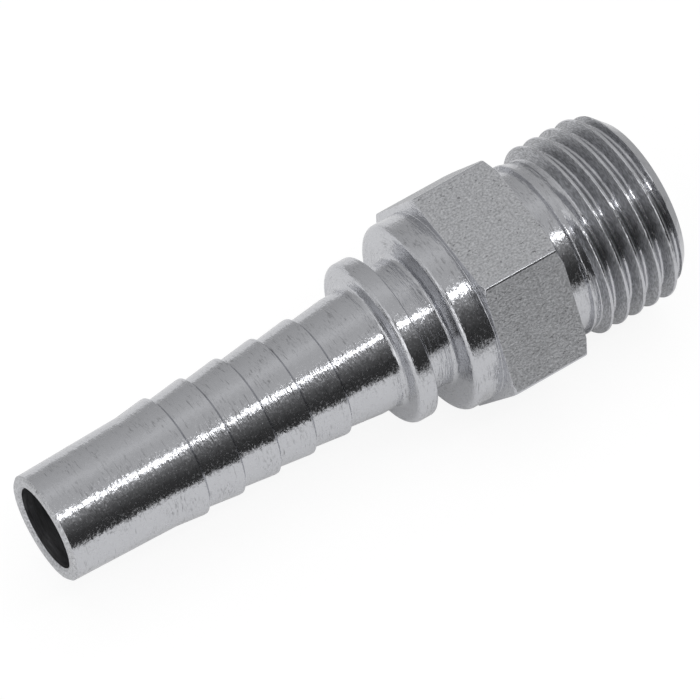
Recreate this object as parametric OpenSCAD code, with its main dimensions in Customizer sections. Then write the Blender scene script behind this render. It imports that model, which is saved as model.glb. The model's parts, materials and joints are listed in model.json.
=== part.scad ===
// Straight male hose fitting, turned from one length of hexagon bar.
// The axis lies along X: the hose tail points to -X and the threaded stub to +X.
// The origin is on the axis, in the hexagon's face on the thread side,
// which is where the fitting stops when it is screwed home.
// A hexagon flat faces down, so Z is up across the flats.

/* [Hose tail] */
// Length of the smooth tapered lead-in at the tip
lead_l = 9.15; // [6:0.05:12]
// Diameter of the tail at its tip
tip_d = 8.98; // [8.4:0.02:9.1]
// Diameter where the lead-in ends and the first barb's ramp begins
lead_d = 9.44; // [9.2:0.02:9.6]
// Bevel round the outside of the tip
tip_bevel = 0.2; // [0.1:0.05:0.4]
// Length of the first barb's ramp
first_ramp_l = 2.6; // [1.5:0.1:4]
// Diameter across a barb's crest
crest_d = 10; // [9.8:0.02:10.6]
// Diameter just behind a crest, where the next ramp begins
root_d = 9.3; // [8.8:0.02:9.6]
// Distance from one crest to the next
barb_pitch = 3.23; // [2.6:0.01:4]
// Number of barbs
barb_count = 5; // [2:1:7]
// Length of the flat land on a crest
crest_land = 0.25; // [0.1:0.05:0.5]
// Length of the steep back of a barb
barb_back = 0.1; // [0.05:0.01:0.3]
// Length of the plain stretch between the last ramp and the collar
plain_l = 1.8; // [1:0.1:4]

/* [Collar and ferrule groove] */
// Diameter of the collar that the ferrule locks behind
collar_d = 13.8; // [12.6:0.1:15]
// Width of the collar
collar_w = 1.65; // [1.2:0.05:2.5]
// Fillet where the tail meets the collar
collar_fillet = 0.45; // [0.2:0.05:0.8]
// Rounding of the collar's front edge
collar_front_round = 0.35; // [0.1:0.05:0.5]
// Rounding of the collar's back edge
collar_back_round = 0.15; // [0.05:0.05:0.5]
// Diameter at the bottom of the ferrule groove
groove_d = 10.8; // [10:0.1:12]
// Width of the ferrule groove
groove_w = 2.7; // [1.8:0.1:4]
// Fillet in the two corners of the groove
groove_fillet = 0.4; // [0.1:0.05:0.5]

/* [Shoulder and hexagon] */
// Diameter of the round shoulder in front of the hexagon
shoulder_d = 16.1; // [15:0.1:16.2]
// Length of the shoulder, up to the hexagon's face
shoulder_l = 2.5; // [1.6:0.1:5]
// Rounding of the shoulder's front edge
shoulder_round = 0.3; // [0.1:0.05:0.6]
// Fillet where the shoulder meets the hexagon
shoulder_fillet = 0.35; // [0.1:0.05:0.4]
// Width of the hexagon across its flats
hex_af = 17; // [17:0.1:24]
// Length of the hexagon
hex_l = 7; // [5:0.1:12]
// How far the tail-side bevel cuts into the hexagon's corners, across the axis
hex_bevel_tail = 0.35; // [0.1:0.05:0.8]
// How far the thread-side bevel cuts into the hexagon's corners, across the axis
hex_bevel_thread = 0.68; // [0.1:0.02:0.8]
// Slope of the two bevels, from the hexagon's end face
hex_bevel_angle = 30; // [15:1:45]

/* [Threaded stub] */
// Outside diameter of the thread
thread_d = 16; // [15.6:0.1:16.6]
// Length of the stub, from the hexagon's face to the end
stub_l = 11; // [9:0.1:18]
// Diameter of the relief between the hexagon and the thread
relief_d = 15; // [13.8:0.1:15.4]
// Length of the relief
relief_l = 2.15; // [1:0.05:3]
// Depth of the 45 degree bevel on the end of the thread
end_bevel = 1.35; // [0.6:0.05:1.4]

/* [Bore] */
// Diameter of the bore through the fitting
bore_d = 6.9; // [5:0.1:7.2]
// Countersink at the tip of the tail
tip_countersink = 0.2; // [0.1:0.05:0.3]
// Diameter of the socket that the tube end stands in
socket_d = 10; // [9:0.1:10.4]
// Depth of the socket, from the end of the thread
socket_depth = 7; // [6.6:0.1:8]
// Diameter of the cone's mouth at the end of the thread
cone_d = 12.3; // [11:0.1:12.4]
// Angle of one side of the cone to the axis
cone_half_angle = 12; // [12:1:20]

/* [Hidden] */

steel = [0.74, 0.75, 0.77];
eps = 0.05;

// places along the axis, from the hexagon's face on the thread side
shoulder_x = -hex_l - shoulder_l;
groove_x = shoulder_x - groove_w;
collar_x = groove_x - collar_w;
last_ramp_end_x = collar_x - plain_l;
first_crest_x = last_ramp_end_x - barb_count * barb_pitch;
lead_end_x = first_crest_x - first_ramp_l;
tip_x = lead_end_x - lead_l;

hex_corner_r = hex_af / 2 / cos(30);
cone_l = (cone_d - socket_d) / 2 / tan(cone_half_angle);
arc_steps = 5;

$fn = 72;

// Points of a quarter circle about [x, r], from one angle to another.
// Angle 0 points along the axis to +X, and 90 points away from the axis.
function quarter(x, r, radius, from, to) =
    [for (i = [0 : arc_steps])
        let (a = from + (to - from) * i / arc_steps)
        [x + radius * cos(a), r + radius * sin(a)]];

// One barb: the end of its ramp, its land and the foot of its steep back.
function barb(crest_x) = [
    [crest_x - crest_land, crest_d / 2],
    [crest_x, crest_d / 2],
    [crest_x + barb_back, root_d / 2]
];

function tip_outline() = [
    [tip_x, 0],
    [tip_x, tip_d / 2 - tip_bevel],
    [tip_x + tip_bevel, tip_d / 2],
    [lead_end_x, lead_d / 2]
];

function barb_outline() =
    [for (i = [0 : barb_count - 1]) each barb(first_crest_x + i * barb_pitch)];

function collar_outline() = concat(
    [[last_ramp_end_x, crest_d / 2]],
    quarter(collar_x - collar_fillet, crest_d / 2 + collar_fillet, collar_fillet, -90, 0),
    quarter(collar_x + collar_front_round, collar_d / 2 - collar_front_round,
        collar_front_round, 180, 90),
    quarter(groove_x - collar_back_round, collar_d / 2 - collar_back_round,
        collar_back_round, 90, 0)
);

function groove_outline() = concat(
    quarter(groove_x + groove_fillet, groove_d / 2 + groove_fillet, groove_fillet, 180, 270),
    quarter(shoulder_x - groove_fillet, groove_d / 2 + groove_fillet, groove_fillet, -90, 0)
);

function shoulder_outline() = concat(
    quarter(shoulder_x + shoulder_round, shoulder_d / 2 - shoulder_round,
        shoulder_round, 180, 90),
    quarter(-hex_l - shoulder_fillet, shoulder_d / 2 + shoulder_fillet,
        shoulder_fillet, -90, 0)
);

function stub_outline() = [
    [-hex_l / 2, shoulder_d / 2],
    [-hex_l / 2, relief_d / 2],
    [relief_l, relief_d / 2],
    [relief_l + (thread_d - relief_d) / 2, thread_d / 2],
    [stub_l - end_bevel, thread_d / 2],
    [stub_l, thread_d / 2 - end_bevel],
    [stub_l, 0]
];

// Turns an outline of [x, r] points about the X axis.
module turned(outline) {
    rotate([0, 90, 0])
        rotate_extrude()
            polygon([for (p = outline) [p[1], p[0]]]);
}

module turned_blank() {
    turned(concat(tip_outline(), barb_outline(), collar_outline(),
        groove_outline(), shoulder_outline(), stub_outline()));
}

// The hexagon, with a flat facing down and its corners bevelled in the lathe.
module hexagon() {
    tail_face_r = hex_corner_r - hex_bevel_tail;
    thread_face_r = hex_corner_r - hex_bevel_thread;
    tail_bevel_l = hex_bevel_tail * tan(hex_bevel_angle);
    thread_bevel_l = hex_bevel_thread * tan(hex_bevel_angle);
    intersection() {
        translate([-hex_l, 0, 0])
            rotate([30, 0, 0])
                rotate([0, 90, 0])
                    cylinder(h = hex_l, r = hex_corner_r, $fn = 6);
        turned([
            [-hex_l, 0],
            [-hex_l, tail_face_r],
            [-hex_l + tail_bevel_l, hex_corner_r],
            [-hex_l + 2 * tail_bevel_l, hex_corner_r + hex_bevel_tail],
            [-2 * thread_bevel_l, hex_corner_r + hex_bevel_thread],
            [-thread_bevel_l, hex_corner_r],
            [0, thread_face_r],
            [0, 0]
        ]);
    }
}

// The bore, its countersink at the tip, and the tube socket with its cone.
module bores() {
    socket_x = stub_l - socket_depth;
    cone_x = stub_l - cone_l;
    mouth_over = eps * tan(cone_half_angle);
    translate([tip_x - eps, 0, 0])
        rotate([0, 90, 0])
            cylinder(h = socket_x - tip_x + 2 * eps, d = bore_d);
    translate([tip_x - eps, 0, 0])
        rotate([0, 90, 0])
            cylinder(h = tip_countersink + eps, r1 = bore_d / 2 + tip_countersink + eps,
                r2 = bore_d / 2);
    translate([socket_x, 0, 0])
        rotate([0, 90, 0])
            cylinder(h = socket_depth + eps, d = socket_d);
    translate([cone_x, 0, 0])
        rotate([0, 90, 0])
            cylinder(h = cone_l + eps, r1 = socket_d / 2, r2 = cone_d / 2 + mouth_over);
}

module fitting_body() {
    color(steel)
        difference() {
            union() {
                turned_blank();
                hexagon();
            }
            bores();
        }
}

fitting_body();
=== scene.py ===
import json
import math

import bpy
from mathutils import Matrix, Vector


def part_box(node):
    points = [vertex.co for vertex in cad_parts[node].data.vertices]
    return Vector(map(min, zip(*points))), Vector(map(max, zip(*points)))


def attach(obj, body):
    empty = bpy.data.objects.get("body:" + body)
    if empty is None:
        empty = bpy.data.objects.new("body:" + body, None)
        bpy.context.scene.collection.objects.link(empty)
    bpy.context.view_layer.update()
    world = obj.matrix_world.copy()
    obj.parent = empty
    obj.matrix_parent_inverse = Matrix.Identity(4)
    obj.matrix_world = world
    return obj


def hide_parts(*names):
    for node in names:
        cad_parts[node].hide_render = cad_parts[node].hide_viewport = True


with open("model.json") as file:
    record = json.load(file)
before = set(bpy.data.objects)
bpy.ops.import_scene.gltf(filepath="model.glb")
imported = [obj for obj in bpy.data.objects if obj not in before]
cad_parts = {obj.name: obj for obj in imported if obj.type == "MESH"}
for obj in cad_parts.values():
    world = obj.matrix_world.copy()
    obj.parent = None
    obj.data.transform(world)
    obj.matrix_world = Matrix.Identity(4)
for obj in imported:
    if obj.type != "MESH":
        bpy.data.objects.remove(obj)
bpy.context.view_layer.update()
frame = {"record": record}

# The fitting's axis lies along X: its hose tail points to -X and its thread to +X.
# Sizes are in millimetres and places along X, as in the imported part.
mm = 0.001
low, high = (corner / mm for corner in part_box("fitting_body"))
mounts = {mount["name"]: mount for mount in frame["record"]["mounts"]}

# Hose tail
tip_x = low.x
tip_r = 4.49
tip_bevel = 0.2
lead_l = 9.15
lead_r = 4.72
first_ramp_l = 2.6
crest_r = 5.0
root_r = 4.65
barb_pitch = 3.23
barb_count = 5
crest_land = 0.25
crest_round = 0.05
barb_back = 0.1
root_nick = 0.1
lead_end_x = tip_x + lead_l
first_crest_x = lead_end_x + first_ramp_l
last_ramp_end_x = first_crest_x + barb_count * barb_pitch

# Collar, ferrule groove and shoulder
hex_l = 7.0
shoulder_l = 2.5
shoulder_r = 8.05
shoulder_round = 0.5
shoulder_fillet = 0.05
groove_l = 2.7
groove_r = 5.4
groove_fillet = 0.4
collar_l = 1.65
collar_r = 6.9
collar_fillet = 0.45
collar_front_round = 0.55
collar_back_round = 0.15
shoulder_x = -hex_l - shoulder_l
groove_x = shoulder_x - groove_l
collar_x = groove_x - collar_l

# Hexagon. Its bar is made a little longer at both ends, and has its edges worn first and
# the rims that the lathe-cut bevels leave afterwards.
corner_r = high.y
hex_bevel_tail = 0.35
hex_bevel_thread = 0.68
hex_bevel_slope = math.tan(math.radians(30))
hex_hole_r = 6.0
bar_over = 0.5
worn_edge = 0.15
worn_edge_angle = 50
worn_rim = 0.05
worn_rim_angle = 25

# Threaded stub: a relief, then the blank that the thread is rolled on, which falls from an
# edge at the relief to the first root.
stub_end_x = high.x
thread_r = mounts["thread"]["dims"]["r_mm"]
thread_root_r = 7.08
thread_pitch = 1.5
flank_slope = math.tan(math.radians(30))
crest_flat = thread_pitch / 8
crest_arc_r = 0.15
root_arc_r = 0.2
relief_r = 7.06
relief_end_x = 2.0
blank_r = 7.45
blank_fall = math.tan(math.radians(15))
blank_edge_round = 0.08
end_bevel = 1.35

# Turns are in degrees about X, from +Y towards +Z, and outlines are drawn at drawn_turn.
# A crest passes crest_x_there at crest_turn.
drawn_turn = 90.0
crest_x_there = 4.56
crest_turn = 116.8
# The first ridge rises out of the blank over this stretch.
ridge_start_turn = 82.0 - 360
ridge_rise = 45.0
# The thread's rows begin at a root, so many pitches before the crest that is given above.
pitches_before_crest = 3.5
pitches_drawn = 10

# Bore, and the seat in the thread's end
bore_r = mounts["bore"]["dims"]["r_mm"]
socket_r = mounts["tube_socket"]["dims"]["r_mm"]
socket_depth = 7.0
socket_x = stub_end_x - socket_depth
cone_mouth_r = 6.15
cone_l = (cone_mouth_r - socket_r) / math.tan(math.radians(12))
tip_countersink = 0.2

# How finely round forms are cut, and how close two points have to be to be one
lathe_steps = 160
hex_bevel_steps = 240
arc_steps = 6
flank_steps = 6
merge_distance = 0.0005 * mm

# How a face's finish is told. A lean is how much of the face's normal points along the axis,
# and a turn is how far the normal is from square to a flat, in degrees.
bore_slack = 0.05
flat_lean = 0.02
flat_turn = 2.0
tip_lean = 0.5
flank_lean = (0.8, 0.95)
flank_inner_r = 7.0
smooth_below = 32


def deselect_everything():
    if bpy.context.object and bpy.context.object.mode == "EDIT":
        bpy.ops.object.mode_set(mode="OBJECT")
    bpy.ops.object.select_all(action="DESELECT")


def select_only(piece):
    deselect_everything()
    piece.select_set(True)
    bpy.context.view_layer.objects.active = piece


def apply_modifier(piece, kind, **settings):
    select_only(piece)
    modifier = piece.modifiers.new(kind.title(), kind)
    for setting, value in settings.items():
        setattr(modifier, setting, value)
    bpy.ops.object.modifier_apply(modifier=modifier.name)


def combine(piece, operation, tool):
    """Unites a piece with a tool's solid, or keeps what they share, and removes the tool."""
    apply_modifier(piece, "BOOLEAN", operation=operation, object=tool, solver="EXACT")
    bpy.data.objects.remove(tool)


def at(x, r):
    """The place at x along the axis and r above it."""
    return Vector((x, 0, r)) * mm


def arc(x, r, radius, start, end):
    """Points of an arc about [x, r]. Angle 0 points to +X and 90 away from the axis."""
    step = (end - start) / arc_steps
    angles = [math.radians(start + step * i) for i in range(arc_steps + 1)]
    return [(x + radius * math.cos(a), r + radius * math.sin(a)) for a in angles]


def drawn_outline(name, outline):
    """A chain of [x, r] points, drawn vertex by vertex in the half plane above the axis."""
    deselect_everything()
    bpy.ops.mesh.primitive_plane_add(size=mm)
    piece = bpy.context.object
    piece.name = piece.data.name = name
    bpy.ops.object.mode_set(mode="EDIT")
    bpy.ops.mesh.select_all(action="SELECT")
    bpy.ops.mesh.merge(type="CENTER")
    places = [at(x, r) for x, r in outline]
    bpy.ops.transform.translate(value=places[0])
    for here, there in zip(places, places[1:]):
        bpy.ops.mesh.extrude_vertices_move(TRANSFORM_OT_translate={"value": there - here})
    bpy.ops.mesh.select_all(action="SELECT")
    bpy.ops.mesh.remove_doubles(threshold=merge_distance)
    return piece


def close_up(piece):
    """Merges doubles and turns the faces outwards."""
    select_only(piece)
    bpy.ops.object.mode_set(mode="EDIT")
    bpy.ops.mesh.select_all(action="SELECT")
    bpy.ops.mesh.remove_doubles(threshold=merge_distance)
    bpy.ops.mesh.normals_make_consistent(inside=False)
    bpy.ops.object.mode_set(mode="OBJECT")


def turned(name, outline, steps):
    """An outline turned once round the X axis."""
    piece = drawn_outline(name, outline)
    bpy.ops.mesh.spin(steps=steps, angle=2 * math.pi, center=(0, 0, 0), axis=(1, 0, 0))
    bpy.ops.object.mode_set(mode="OBJECT")
    close_up(piece)
    return piece


def barb(crest_x):
    """The end of a barb's ramp, its softened land and the nicked foot of its steep back."""
    return [(crest_x - crest_land, crest_r),
            (crest_x - crest_round, crest_r),
            (crest_x, crest_r - crest_round),
            (crest_x + barb_back, root_r - root_nick),
            (crest_x + 2 * barb_back, root_r)]


def tail_outline():
    points = [(tip_x, tip_r - tip_bevel), (tip_x + tip_bevel, tip_r), (lead_end_x, lead_r)]
    for i in range(barb_count):
        points += barb(first_crest_x + i * barb_pitch)
    return points


def collar_outline():
    points = [(last_ramp_end_x, crest_r)]
    points += arc(collar_x - collar_fillet, crest_r + collar_fillet, collar_fillet, -90, 0)
    points += arc(collar_x + collar_front_round, collar_r - collar_front_round,
                  collar_front_round, 180, 90)
    points += arc(groove_x - collar_back_round, collar_r - collar_back_round,
                  collar_back_round, 90, 0)
    return points


def shoulder_outline():
    """The ferrule groove and the shoulder, up to the hexagon."""
    points = arc(groove_x + groove_fillet, groove_r + groove_fillet, groove_fillet, 180, 270)
    points += arc(shoulder_x - groove_fillet, groove_r + groove_fillet, groove_fillet, -90, 0)
    points += arc(shoulder_x + shoulder_round, shoulder_r - shoulder_round,
                  shoulder_round, 180, 90)
    points += arc(-hex_l - shoulder_fillet, shoulder_r + shoulder_fillet,
                  shoulder_fillet, -90, 0)
    return points


def relief_outline():
    """From inside the hexagon to where the rolled blank begins."""
    return [(-hex_l / 2, shoulder_r),
            (-hex_l / 2, relief_r),
            (relief_end_x, relief_r),
            (relief_end_x, blank_r - blank_edge_round)]


def bore_outline():
    """From the thread's end face, through the seat and the bore, to the tip."""
    return [(stub_end_x, thread_r - end_bevel),
            (stub_end_x, cone_mouth_r),
            (stub_end_x - cone_l, socket_r),
            (socket_x, socket_r),
            (socket_x, bore_r),
            (tip_x + tip_countersink, bore_r),
            (tip_x, bore_r + tip_countersink)]


def crest_x_at(turn):
    return crest_x_there + thread_pitch * (turn - crest_turn) / 360


def thread_half_section():
    """From a root to the next crest: round root, flank and rounded crest, as [x, r]."""
    root = arc(0, thread_root_r + root_arc_r, root_arc_r, -90, -30)
    edge_x = (thread_pitch - crest_flat) / 2 + crest_arc_r * flank_slope
    crest = arc(edge_x, thread_r - crest_arc_r, crest_arc_r, 150, 90)
    (x, r), (end_x, end_r) = root[-1], crest[0]
    flank = [(x + (end_x - x) * i / flank_steps, r + (end_r - r) * i / flank_steps)
             for i in range(1, flank_steps)]
    return root + flank + crest


def thread_height(share_of_pitch, half):
    """The rolled section's radius at a share of the pitch from a crest."""
    x = abs(abs(share_of_pitch) - 0.5) * thread_pitch
    for (x0, r0), (x1, r1) in zip(half, half[1:]):
        if x <= x1:
            return r0 + (r1 - r0) * max(x - x0, 0.0) / (x1 - x0)
    return thread_r


def rolled_share(turn):
    """How far the rolls have pressed the thread at a turn, from nothing to all."""
    share = min(max((turn - ridge_start_turn) / ridge_rise, 0.0), 1.0)
    return share * share * (3 - 2 * share)


def blank_radius(x):
    """The surface under the thread: an edge at the relief, then a fall to the first root."""
    past = x - relief_end_x
    rounding = max(blank_edge_round - past, 0.0)
    return max(blank_r - past * blank_fall - rounding, thread_root_r)


def rolled_radius(x, turn, half):
    """The stub's radius: ridges stand up out of the blank and grooves go down into it."""
    pitches = (x - crest_x_at(turn)) / thread_pitch
    ridge = math.floor(pitches + 0.5)
    base = blank_radius(x)
    height = thread_height(pitches - ridge, half) - base
    groove = math.floor(pitches + 1e-6)
    nearest = ridge if height > 0 else groove
    r = base + height * rolled_share(turn + 360 * nearest)
    return min(r, thread_r - end_bevel + stub_end_x - x)


def rolled_thread():
    """Rows that follow the helix, closed up after one turn, and cut level at both ends."""
    half = thread_half_section()
    pitch_rows = half[:-1] + [(thread_pitch - x, r) for x, r in half[::-1]]
    start = crest_x_at(drawn_turn) - pitches_before_crest * thread_pitch
    rows = [(start + i * thread_pitch + x, r)
            for i in range(pitches_drawn) for x, r in pitch_rows[:-1]]
    piece = drawn_outline("rolled_thread", rows)
    bpy.ops.object.mode_set(mode="OBJECT")
    apply_modifier(piece, "SCREW", axis="X", angle=2 * math.pi,
                   screw_offset=thread_pitch * mm, steps=lathe_steps,
                   render_steps=lathe_steps, use_smooth_shade=False)
    for vertex in piece.data.vertices:
        turn = math.degrees(math.atan2(vertex.co.z, vertex.co.y))
        x = min(max(vertex.co.x / mm, relief_end_x), stub_end_x)
        scale = rolled_radius(x, turn, half) * mm / math.hypot(vertex.co.y, vertex.co.z)
        vertex.co = (x * mm, vertex.co.y * scale, vertex.co.z * scale)
    close_up(piece)
    return piece


def turned_blank():
    """All that is turned, with the rolled thread joined on row by row."""
    outline = relief_outline()[::-1] + shoulder_outline()[::-1] + collar_outline()[::-1]
    outline += tail_outline()[::-1] + bore_outline()[::-1]
    blank = turned("turned_blank", outline, lathe_steps)
    thread = rolled_thread()
    select_only(blank)
    thread.select_set(True)
    bpy.ops.object.join()
    close_up(blank)
    return blank


def hexagon():
    """The bar's six flats between two lathe-cut bevels, with its edges slightly worn."""
    deselect_everything()
    bpy.ops.mesh.primitive_cylinder_add(
        vertices=6, radius=corner_r * mm, depth=(hex_l + 2 * bar_over) * mm,
        location=(-hex_l / 2 * mm, 0, 0), rotation=(0, math.pi / 2, 0))
    bar = bpy.context.object
    bpy.ops.object.transform_apply(location=True, rotation=True, scale=True)
    apply_modifier(bar, "BEVEL", width=worn_edge * mm, segments=3, limit_method="ANGLE",
                   angle_limit=math.radians(worn_edge_angle))
    tail_l = hex_bevel_tail * hex_bevel_slope
    thread_l = hex_bevel_thread * hex_bevel_slope
    bevels = turned("hexagon_bevels", [
        (-hex_l, hex_hole_r),
        (-hex_l, corner_r - hex_bevel_tail),
        (-hex_l + 2 * tail_l, corner_r + hex_bevel_tail),
        (-2 * thread_l, corner_r + hex_bevel_thread),
        (0, corner_r - hex_bevel_thread),
        (0, hex_hole_r),
        (-hex_l, hex_hole_r)], hex_bevel_steps)
    combine(bar, "INTERSECT", bevels)
    apply_modifier(bar, "BEVEL", width=worn_rim * mm, segments=2, limit_method="ANGLE",
                   angle_limit=math.radians(worn_rim_angle), use_clamp_overlap=False)
    return bar


def linear(colour):
    """An sRGB hex value as the linear colour that the shaders take."""
    parts = [int(colour[i:i + 2], 16) / 255 for i in (0, 2, 4)]
    return [p / 12.92 if p <= 0.04045 else ((p + 0.055) / 1.055) ** 2.4 for p in parts] + [1]


def grey(brightness):
    """An even colour of a brightness that is already linear."""
    return [brightness, brightness, brightness, 1]


def add_node(tree, kind, inputs=None, **settings):
    """Adds a node, sets it, and feeds its inputs with values or with (node, output) pairs."""
    node = tree.nodes.new(kind)
    for setting, value in settings.items():
        setattr(node, setting, value)
    for socket, value in (inputs or {}).items():
        if isinstance(value, tuple) and isinstance(value[0], bpy.types.Node):
            tree.links.new(value[0].outputs[value[1]], node.inputs[socket])
        else:
            node.inputs[socket].default_value = value
    return node


def new_material(name):
    material = bpy.data.materials.new(name)
    material.use_nodes = True
    material.node_tree.nodes.clear()
    return material, material.node_tree


def lathe_place(tree):
    """Where a lathe's tool was: x and the radius together, then y and z. Marks that are
    short in the first run round the fitting, on its end faces too."""
    place = add_node(tree, "ShaderNodeTexCoord")
    axes = add_node(tree, "ShaderNodeSeparateXYZ", {"Vector": (place, "Object")})
    square_y = add_node(tree, "ShaderNodeMath", {0: (axes, "Y"), 1: 2.0}, operation="POWER")
    square_z = add_node(tree, "ShaderNodeMath", {0: (axes, "Z"), 1: 2.0}, operation="POWER")
    squares = add_node(tree, "ShaderNodeMath", {
        0: (square_y, "Value"), 1: (square_z, "Value")}, operation="ADD")
    radius = add_node(tree, "ShaderNodeMath", {0: (squares, "Value")}, operation="SQRT")
    travel = add_node(tree, "ShaderNodeMath", {
        0: (axes, "X"), 1: (radius, "Value")}, operation="ADD")
    joined = add_node(tree, "ShaderNodeCombineXYZ", {
        "X": (travel, "Value"), "Y": (axes, "Y"), "Z": (axes, "Z")})
    return joined, "Vector"


def bar_place(tree):
    """The place on the drawn bar, for marks that run straight along it."""
    return add_node(tree, "ShaderNodeTexCoord"), "Object"


def scaled_noise(tree, place, along_mm, round_mm, detail=2.0, roughness=0.55):
    """Noise with one size of grain along the place's first axis and another across it."""
    mapping = add_node(tree, "ShaderNodeMapping", {
        "Vector": place,
        "Scale": (1 / (along_mm * mm), 1 / (round_mm * mm), 1 / (round_mm * mm))})
    return add_node(tree, "ShaderNodeTexNoise", {
        "Vector": (mapping, "Vector"), "Scale": 1.0, "Detail": detail,
        "Roughness": roughness})


def bright_turned_zinc():
    """Free-cutting steel turned on a lathe, then clear zinc plated: a bluish mirror that
    the tool's chatter breaks up, with dark flecks in the tool marks and dull specks."""
    material, tree = new_material("bright_turned_zinc")
    place = lathe_place(tree)
    # tool marks repeat every 0.1 mm or so and are drawn coarser, to show in the picture
    chatter = scaled_noise(tree, place, along_mm=0.35, round_mm=0.9)
    rings = scaled_noise(tree, place, along_mm=0.15, round_mm=1.4, roughness=0.6)
    flecks = scaled_noise(tree, place, along_mm=0.16, round_mm=0.7, roughness=0.65)
    # the plating's own grain is a few hundredths of a millimetre, and is drawn coarser too
    grain = scaled_noise(tree, place, along_mm=0.2, round_mm=0.25)
    dull = scaled_noise(tree, place, along_mm=0.2, round_mm=0.2, roughness=0.65)
    patches = scaled_noise(tree, place, along_mm=2.2, round_mm=2.2, detail=3.0)
    fleck_share = add_node(tree, "ShaderNodeMapRange", {
        "Value": (flecks, 0), "From Min": 0.52, "From Max": 0.68})
    patch_share = add_node(tree, "ShaderNodeMapRange", {
        "Value": (patches, 0), "From Min": 0.5, "From Max": 0.62,
        "To Min": 0.03, "To Max": 0.42})
    ring_share = add_node(tree, "ShaderNodeMapRange", {
        "Value": (rings, 0), "From Min": 0.64, "From Max": 0.76,
        "To Min": 0.0, "To Max": 0.5})
    spotted = add_node(tree, "ShaderNodeMath", {
        0: (fleck_share, "Result"), 1: (patch_share, "Result")}, operation="MULTIPLY")
    dark_share = add_node(tree, "ShaderNodeMath", {
        0: (spotted, "Value"), 1: (ring_share, "Result")}, operation="MAXIMUM")
    colour = add_node(tree, "ShaderNodeMix", {
        "Factor": (dark_share, "Value"), "A": linear("C8C9CD"), "B": linear("454548")},
        data_type="RGBA")
    roughness = add_node(tree, "ShaderNodeMapRange", {
        "Value": (dull, 0), "From Min": 0.52, "From Max": 0.68,
        "To Min": 0.12, "To Max": 0.34})
    grain_bump = add_node(tree, "ShaderNodeBump", {
        "Height": (grain, 0), "Strength": 1.0, "Distance": 0.009 * mm})
    ring_bump = add_node(tree, "ShaderNodeBump", {
        "Height": (rings, 0), "Strength": 1.0, "Distance": 0.035 * mm,
        "Normal": (grain_bump, "Normal")})
    chatter_bump = add_node(tree, "ShaderNodeBump", {
        "Height": (chatter, 0), "Strength": 1.0, "Distance": 0.03 * mm,
        "Normal": (ring_bump, "Normal")})
    shader = add_node(tree, "ShaderNodeBsdfPrincipled", {
        "Base Color": (colour, "Result"), "Metallic": 1.0,
        "Roughness": (roughness, "Result"), "Normal": (chatter_bump, "Normal")})
    add_node(tree, "ShaderNodeOutputMaterial", {"Surface": (shader, "BSDF")})
    return material


def satin_drawn_zinc():
    """The bar's own cold-drawn skin under the same zinc plating: a dull satin grey,
    finely mottled, with small dark pits drawn out along the bar."""
    material, tree = new_material("satin_drawn_zinc")
    place = bar_place(tree)
    # the skin's mottle is finer than 0.1 mm and is drawn coarser, to show in the picture
    mottle = scaled_noise(tree, place, along_mm=0.2, round_mm=0.16, detail=3.0, roughness=0.6)
    pits = scaled_noise(tree, place, along_mm=0.3, round_mm=0.2, roughness=0.5)
    pit_share = add_node(tree, "ShaderNodeMapRange", {
        "Value": (pits, 0), "From Min": 0.64, "From Max": 0.74})
    tone = add_node(tree, "ShaderNodeMapRange", {
        "Value": (mottle, 0), "From Min": 0.32, "From Max": 0.68})
    skin = add_node(tree, "ShaderNodeMix", {
        "Factor": (tone, "Result"), "A": linear("A8A9AC"), "B": linear("DFE0E3")},
        data_type="RGBA")
    colour = add_node(tree, "ShaderNodeMix", {
        "Factor": (pit_share, "Result"), "A": (skin, "Result"), "B": linear("828285")},
        data_type="RGBA")
    roughness = add_node(tree, "ShaderNodeMapRange", {
        "Value": (mottle, 0), "From Min": 0.3, "From Max": 0.7,
        "To Min": 0.4, "To Max": 0.54})
    bump = add_node(tree, "ShaderNodeBump", {
        "Height": (mottle, 0), "Strength": 1.0, "Distance": 0.06 * mm})
    shader = add_node(tree, "ShaderNodeBsdfPrincipled", {
        "Base Color": (colour, "Result"), "Metallic": 1.0,
        "Roughness": (roughness, "Result"), "Normal": (bump, "Normal")})
    add_node(tree, "ShaderNodeOutputMaterial", {"Surface": (shader, "BSDF")})
    return material


def bore_steel_painted_shade():
    """The drilled bore: dull steel with drill marks, darker grey as painted shade inside it.
    """
    material, tree = new_material("bore_steel_painted_shade")
    place = lathe_place(tree)
    marks = scaled_noise(tree, place, along_mm=0.3, round_mm=1.5)
    bump = add_node(tree, "ShaderNodeBump", {
        "Height": (marks, 0), "Strength": 1.0, "Distance": 0.03 * mm})
    # the base colour's darker grey is painted shade for the inside of the bore
    shader = add_node(tree, "ShaderNodeBsdfPrincipled", {
        "Base Color": linear("8C8C8F"), "Metallic": 1.0, "Roughness": 0.42,
        "Normal": (bump, "Normal")})
    add_node(tree, "ShaderNodeOutputMaterial", {"Surface": (shader, "BSDF")})
    return material


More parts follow.
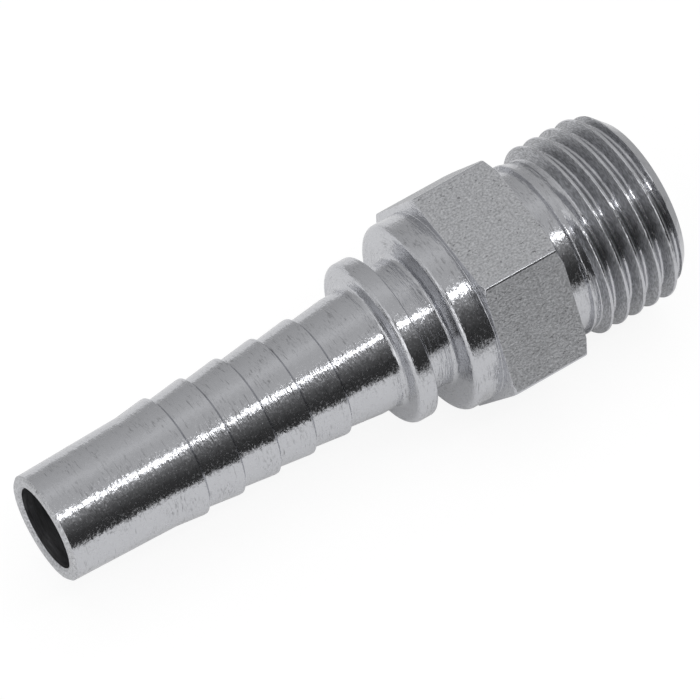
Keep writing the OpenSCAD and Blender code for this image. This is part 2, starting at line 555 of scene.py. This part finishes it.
def rolled_thread_zinc():
    """Thread flanks pressed by rolls: the plating is thin and grainy there, so they look
    dark and rough between the bright crests and roots."""
    material, tree = new_material("rolled_thread_zinc")
    place = lathe_place(tree)
    # the flanks' grain is finer than 0.1 mm and is drawn coarser, to show in the picture
    grain = scaled_noise(tree, place, along_mm=0.18, round_mm=0.25, detail=3.0, roughness=0.65)
    flecks = scaled_noise(tree, place, along_mm=0.12, round_mm=0.4, roughness=0.65)
    fleck_share = add_node(tree, "ShaderNodeMapRange", {
        "Value": (flecks, 0), "From Min": 0.38, "From Max": 0.62})
    colour = add_node(tree, "ShaderNodeMix", {
        "Factor": (fleck_share, "Result"), "A": linear("C2C3C7"), "B": linear("8E8F92")},
        data_type="RGBA")
    bump = add_node(tree, "ShaderNodeBump", {
        "Height": (grain, 0), "Strength": 1.0, "Distance": 0.04 * mm})
    shader = add_node(tree, "ShaderNodeBsdfPrincipled", {
        "Base Color": (colour, "Result"), "Metallic": 1.0, "Roughness": 0.3,
        "Normal": (bump, "Normal")})
    add_node(tree, "ShaderNodeOutputMaterial", {"Surface": (shader, "BSDF")})
    return material


# The finishes, in the order of the fitting's material slots
finishes = (bright_turned_zinc, satin_drawn_zinc, bore_steel_painted_shade, rolled_thread_zinc)
TURNED, SATIN, BORE, FLANK = range(len(finishes))


def finish_of(face):
    """Which of the four finishes a face has, by its place and normal."""
    centre = face.center / mm
    normal = face.normal
    r = math.hypot(centre.y, centre.z)
    if r < bore_r + bore_slack and centre.x > tip_x + tip_countersink:
        return BORE
    off_flat = math.degrees(math.atan2(normal.y, normal.z)) % 60
    if -hex_l < centre.x < 0 and abs(normal.x) < flat_lean and r > shoulder_r:
        if min(off_flat, 60 - off_flat) < flat_turn:
            return SATIN
    if normal.x < -tip_lean and centre.x < tip_x + tip_countersink:
        return SATIN
    least_lean, most_lean = flank_lean
    if relief_end_x < centre.x < stub_end_x and r > flank_inner_r:
        if least_lean < abs(normal.x) < most_lean:
            return FLANK
    return TURNED


def straight_male_hose_fitting():
    piece = turned_blank()
    combine(piece, "UNION", hexagon())
    close_up(piece)
    piece.name = piece.data.name = "plated_fitting"
    for make_finish in finishes:
        piece.data.materials.append(make_finish())
    for face in piece.data.polygons:
        face.material_index = finish_of(face)
    select_only(piece)
    bpy.ops.object.shade_smooth_by_angle(angle=math.radians(smooth_below))
    apply_modifier(piece, "WEIGHTED_NORMAL", keep_sharp=True)
    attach(piece, "root")
    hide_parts("fitting_body")


# The photograph's view, with x to the right, y down and z away from the camera once the
# picture is turned so that the fitting's axis lies level.
axis_to_sight = math.radians(72.54)
axis_rise = math.radians(29.285)
camera_side = math.radians(63.17)
tip_in_view = (-26.785, 0.504, 452.66)
lens = 308.57
along = Vector((1, 0, 0))
towards = Vector((0, -math.cos(camera_side), math.sin(camera_side)))
away = along * math.cos(axis_to_sight) - towards * math.sin(axis_to_sight)


def add_camera():
    """Puts the camera where the tail's tip and the axis appear as in the photograph."""
    level_right = along * math.sin(axis_to_sight) + towards * math.cos(axis_to_sight)
    level_down = -Vector((0, math.sin(camera_side), math.cos(camera_side)))
    right = level_right * math.cos(axis_rise) + level_down * math.sin(axis_rise)
    down = level_down * math.cos(axis_rise) - level_right * math.sin(axis_rise)
    tip = Vector((tip_x, 0, 0))
    x, y, z = tip_in_view
    where = (tip - level_right * x - level_down * y - away * z) * mm
    data = bpy.data.cameras.new("camera")
    data.lens = lens
    data.sensor_width = 36
    data.clip_start = 0.01
    camera = bpy.data.objects.new("camera", data)
    bpy.context.scene.collection.objects.link(camera)
    turn = Matrix((right, -down, -away)).transposed()
    camera.matrix_world = Matrix.Translation(where) @ turn.to_4x4()
    bpy.context.scene.camera = camera


# The floor, in metres. The camera sees it nearly white, and the metal sees it lit by the
# lamps, up to an edge beyond the fitting, and greyer past that edge.
floor_size = 12.0
white_level = 1.05
white_when_seen = 0.85
white_when_mirrored = 0.2
far_floor_from = 0.06
far_floor_blur = 0.01
far_floor_level = 0.5
right_floor_nearer = 0.04


def add_floor():
    """A plain white floor that keeps part of its own shading, so the shadow shows."""
    deselect_everything()
    bpy.ops.mesh.primitive_plane_add(size=floor_size, location=(0, 0, low.z * mm))
    floor = bpy.context.object
    floor.name = "floor"
    material, tree = new_material("white_floor")
    seen = add_node(tree, "ShaderNodeLightPath")
    straight = add_node(tree, "ShaderNodeMath", {
        0: (seen, "Is Camera Ray"), 1: (seen, "Is Transmission Ray")}, operation="MAXIMUM")
    seen_share = add_node(tree, "ShaderNodeMath", {
        0: (straight, "Value"), 1: white_when_seen}, operation="MULTIPLY")
    place = add_node(tree, "ShaderNodeTexCoord")
    axes = add_node(tree, "ShaderNodeSeparateXYZ", {"Vector": (place, "Object")})
    threadwards = add_node(tree, "ShaderNodeMath", {
        0: (axes, "X"), 1: right_floor_nearer}, operation="ADD")
    beyond = add_node(tree, "ShaderNodeMath", {
        0: (threadwards, "Value"), 1: (axes, "Y")}, operation="MAXIMUM")
    far_white = add_node(tree, "ShaderNodeMapRange", {
        "Value": (beyond, "Value"), "From Min": far_floor_from - far_floor_blur,
        "From Max": far_floor_from + far_floor_blur,
        "To Min": white_when_mirrored, "To Max": 1.0})
    mirrored_share = add_node(tree, "ShaderNodeMath", {
        0: (seen, "Is Glossy Ray"), 1: (far_white, "Result")}, operation="MULTIPLY")
    share = add_node(tree, "ShaderNodeMath", {
        0: (seen_share, "Value"), 1: (mirrored_share, "Value")}, operation="ADD")
    far_level = add_node(tree, "ShaderNodeMapRange", {
        "Value": (beyond, "Value"), "From Min": far_floor_from - far_floor_blur,
        "From Max": far_floor_from + far_floor_blur,
        "To Min": white_level, "To Max": far_floor_level})
    level = add_node(tree, "ShaderNodeMix", {
        "Factor": (seen, "Is Glossy Ray"), "A": white_level, "B": (far_level, "Result")})
    paint = add_node(tree, "ShaderNodeBsdfDiffuse", {"Color": linear("F4F4F4")})
    white = add_node(tree, "ShaderNodeEmission", {
        "Color": linear("FFFFFF"), "Strength": (level, "Result")})
    mixed = add_node(tree, "ShaderNodeMixShader", {
        0: (share, "Value"), 1: (paint, "BSDF"), 2: (white, "Emission")})
    add_node(tree, "ShaderNodeOutputMaterial", {"Surface": (mixed, "Shader")})
    floor.data.materials.append(material)


# The studio that the metal mirrors, by height above the camera-side horizon in degrees: a
# dark room up to the strip lamp that hangs along the fitting, then pale grey overhead and
# down to the far side. Towards the tail's end, by how much a direction points that way,
# there is a bright wall and then a dark opening.
brightest = 1.6
room_levels = ((0, 0.035), (24, 0.05), (44, 0.13), (59, 0.38), (64, 0.58), (100, 0.57),
               (118, 0.7), (136, 0.57), (180, 0.46))
end_wall_levels = ((0, 1.4), (66, 1.6), (96, 1.05), (140, 0.7), (180, 0.6))
end_wall_from = 0.62
end_wall_blur = 0.04
opening_from = 0.93
opening_blur = 0.02
opening_level = 0.13
# The camera's dark stand, a disc about its direction, by half its width in degrees
stand_edge = 13.0
stand_blur = 3.0
stand_level = 0.04


def stepped(tree, half_turns, levels):
    """A brightness by angle, from pairs of degrees and brightness."""
    ramp = add_node(tree, "ShaderNodeValToRGB", {"Fac": (half_turns, "Value")})
    stops = ramp.color_ramp.elements
    stops[0].position = 0.0
    stops[1].position = 1.0
    for degrees, brightness in levels[1:-1]:
        stops.new(degrees / 180)
    for stop, (degrees, brightness) in zip(stops, levels):
        stop.color = grey(brightness / brightest)
    return ramp


def add_room():
    """The world: white to the camera, and the studio to all that lights or mirrors."""
    world = bpy.data.worlds.new("studio")
    bpy.context.scene.world = world
    world.use_nodes = True
    tree = world.node_tree
    tree.nodes.clear()
    place = add_node(tree, "ShaderNodeTexCoord")
    axes = add_node(tree, "ShaderNodeSeparateXYZ", {"Vector": (place, "Generated")})
    front = add_node(tree, "ShaderNodeMath", {0: (axes, "Y"), 1: -1.0}, operation="MULTIPLY")
    angle = add_node(tree, "ShaderNodeMath", {
        0: (axes, "Z"), 1: (front, "Value")}, operation="ARCTAN2")
    half_turns = add_node(tree, "ShaderNodeMath", {
        0: (angle, "Value"), 1: math.pi}, operation="DIVIDE")
    level = stepped(tree, half_turns, room_levels)
    wall = stepped(tree, half_turns, end_wall_levels)
    tailwards = add_node(tree, "ShaderNodeMath", {
        0: (axes, "X"), 1: -1.0}, operation="MULTIPLY")
    wall_share = add_node(tree, "ShaderNodeMapRange", {
        "Value": (tailwards, "Value"), "From Min": end_wall_from - end_wall_blur,
        "From Max": end_wall_from + end_wall_blur})
    walled = add_node(tree, "ShaderNodeMix", {
        "Factor": (wall_share, "Result"), "A": (level, "Color"), "B": (wall, "Color")},
        data_type="RGBA")
    opening_share = add_node(tree, "ShaderNodeMapRange", {
        "Value": (tailwards, "Value"), "From Min": opening_from - opening_blur,
        "From Max": opening_from + opening_blur})
    opened = add_node(tree, "ShaderNodeMix", {
        "Factor": (opening_share, "Result"), "A": (walled, "Result"),
        "B": grey(opening_level / brightest)}, data_type="RGBA")
    nearness = add_node(tree, "ShaderNodeVectorMath", {
        0: (place, "Generated"), 1: -away}, operation="DOT_PRODUCT")
    stand_share = add_node(tree, "ShaderNodeMapRange", {
        "Value": (nearness, "Value"),
        "From Min": math.cos(math.radians(stand_edge + stand_blur)),
        "From Max": math.cos(math.radians(stand_edge - stand_blur))})
    with_stand = add_node(tree, "ShaderNodeMix", {
        "Factor": (stand_share, "Result"), "A": (opened, "Result"),
        "B": grey(stand_level / brightest)}, data_type="RGBA")
    room = add_node(tree, "ShaderNodeBackground", {
        "Color": (with_stand, "Result"), "Strength": brightest})
    white = add_node(tree, "ShaderNodeBackground", {"Color": linear("FFFFFF")})
    seen = add_node(tree, "ShaderNodeLightPath")
    mixed = add_node(tree, "ShaderNodeMixShader", {
        0: (seen, "Is Camera Ray"), 1: (room, "Background"), 2: (white, "Background")})
    add_node(tree, "ShaderNodeOutputWorld", {"Surface": (mixed, "Shader")})


# The lamps, in metres
strip_elevation = math.radians(68)
strip_distance = 1.0
strip_width = 0.09
strip_length = 0.8
strip_x = 0.3
strip_radiance = 5.0
floor_lamp_size = 1.0
floor_lamp_height = 1.2
floor_lamp_radiance = 1.5


def add_strip_lamp():
    """A long narrow lamp, which draws the bright line along the fitting."""
    data = bpy.data.lights.new("strip_lamp", "AREA")
    data.shape = "RECTANGLE"
    data.size = strip_length
    data.size_y = strip_width
    data.energy = strip_radiance * math.pi * strip_length * strip_width
    lamp = bpy.data.objects.new("strip_lamp", data)
    bpy.context.scene.collection.objects.link(lamp)
    lamp.location = (strip_x, -strip_distance * math.cos(strip_elevation),
                     strip_distance * math.sin(strip_elevation))
    lamp.rotation_euler = (math.pi / 2 - strip_elevation, 0, 0)
    lamp.visible_camera = False


def add_floor_lamp():
    """A large soft lamp for the floor, kept out of the metal's reflections."""
    data = bpy.data.lights.new("floor_lamp", "AREA")
    data.size = floor_lamp_size
    data.energy = floor_lamp_radiance * math.pi * floor_lamp_size ** 2
    lamp = bpy.data.objects.new("floor_lamp", data)
    bpy.context.scene.collection.objects.link(lamp)
    lamp.location = (0, 0, floor_lamp_height)
    lamp.visible_glossy = False
    lamp.visible_camera = False


bpy.context.scene.view_settings.view_transform = "Standard"
add_camera()
add_floor()
add_room()
add_strip_lamp()
add_floor_lamp()
straight_male_hose_fitting()
